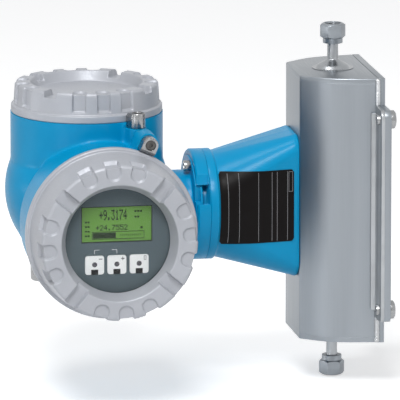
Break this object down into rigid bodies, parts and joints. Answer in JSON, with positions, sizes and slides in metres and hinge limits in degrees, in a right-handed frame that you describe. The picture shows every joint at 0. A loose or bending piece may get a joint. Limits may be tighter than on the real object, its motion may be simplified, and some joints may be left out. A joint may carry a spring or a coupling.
{
  "type": "coriolis flow meter",
  "caption": "Coriolis mass flow meter: a bent measuring tube in a folded steel housing with threaded pipe couplings, and a blue field transmitter with a display on a turning neck.",
  "frame": {"origin": "centre of the back plate's rear face, where the meter is held on its panel or wall", "axes": "+X out of the mounting face, +Z along the flow and up, the display looks toward -Y"},
  "size_m": [0.2956, 0.222, 0.281],
  "materials": {
    "blue_paint": "smooth glossy blue powder coat on die-cast aluminium",
    "cover_grey": "light grey satin powder coat with a faint grain",
    "stainless": "stainless sheet, finely brushed across the flow",
    "turned_steel": "turned stainless bar",
    "screw_steel": "dull stainless screw steel",
    "coil_copper": "enamelled copper winding",
    "magnet_brass": "brass clip with a plated magnet",
    "dark_plastic": "dark moulded plastic",
    "rubber": "black sealing rubber",
    "label_black": "black printed plate with thin grey rules",
    "terminal_green": "green terminal plastic",
    "board_green": "green circuit board",
    "window_glass": "clear flat glass",
    "panel_grey": "dark grey printed panel",
    "display_green": "yellow-green display field with dark digits",
    "key_white": "white touch fields with a dark sensing dot"
  },
  "bodies": {
    "sensor": {"sensor_shell": "stainless", "end_plates": "stainless", "back_plate": "stainless", "mounting_angles": "stainless", "mounting_screws": "screw_steel", "process_fittings": "turned_steel", "measuring_tube": "turned_steel", "tube_carrier": "stainless", "drive_coil": "coil_copper", "pickoff_coils": "coil_copper", "tube_magnets": "magnet_brass", "cable_feedthrough": "dark_plastic", "neck_cone": "blue_paint", "neck_collar": "blue_paint", "nameplate": "label_black"},
    "head": {"transmitter_housing": "blue_paint", "neck_screws": "screw_steel", "neck_seal": "rubber", "cable_plug": "turned_steel", "plug_washer": "rubber", "terminal_block": "terminal_green", "electronics_carrier": "dark_plastic", "main_board": "board_green", "power_board": "board_green", "lid_clamp": "turned_steel", "front_clamp": "turned_steel", "clamp_screws": "screw_steel"},
    "connection_seal_ring": {"connection_seal": "rubber"},
    "connection_lid": {"connection_cover": "cover_grey"},
    "display_seal_ring": {"display_seal": "rubber"},
    "display_lid": {"display_cover": "cover_grey", "window_glass": "window_glass", "glass_ring": "dark_plastic"},
    "display_unit": {"display_panel": "panel_grey", "display_field": "display_green", "touch_keys": "key_white", "display_frame": "dark_plastic"},
    "top_nut": {"coupling_nut_top": "turned_steel"},
    "bottom_nut": {"coupling_nut_bottom": "turned_steel"}
  },
  "joints": [
    {"name": "head_turn", "type": "hinge", "parent": "sensor", "child": "head", "pos_m": [-0.1456, 0, 0], "axis": [1, 0, 0], "range_deg": [-180, 180]},
    {"name": "connection_cover_rise", "type": "slide", "parent": "head", "child": "connection_seal_ring", "axis": [0, 0, 1], "range_m": [0, 0.01]},
    {"name": "connection_cover_turn", "type": "hinge", "parent": "connection_seal_ring", "child": "connection_lid", "pos_m": [-0.2316, 0, 0.0775], "axis": [0, 0, 1], "range_deg": [0, 1800]},
    {"name": "display_cover_advance", "type": "slide", "parent": "head", "child": "display_seal_ring", "axis": [0, -1, 0], "range_m": [0, 0.01]},
    {"name": "display_cover_turn", "type": "hinge", "parent": "display_seal_ring", "child": "display_lid", "pos_m": [-0.2286, -0.097, 0], "axis": [0, -1, 0], "range_deg": [0, 1800]},
    {"name": "display_turn", "type": "hinge", "parent": "head", "child": "display_unit", "pos_m": [-0.2286, -0.11, 0], "axis": [0, -1, 0], "range_deg": [-180, 180]},
    {"name": "top_nut_turn", "type": "hinge", "parent": "sensor", "child": "top_nut", "pos_m": [-0.0363, 0, 0.133], "axis": [0, 0, 1], "continuous": true},
    {"name": "bottom_nut_turn", "type": "hinge", "parent": "sensor", "child": "bottom_nut", "pos_m": [-0.0363, 0, -0.133], "axis": [0, 0, 1], "continuous": true}
  ],
  "couplings": [
    {"joint": "connection_cover_rise", "follows": "connection_cover_turn", "m_per_rad": 0.0003183},
    {"joint": "display_cover_advance", "follows": "display_cover_turn", "m_per_rad": 0.0003183}
  ]
}
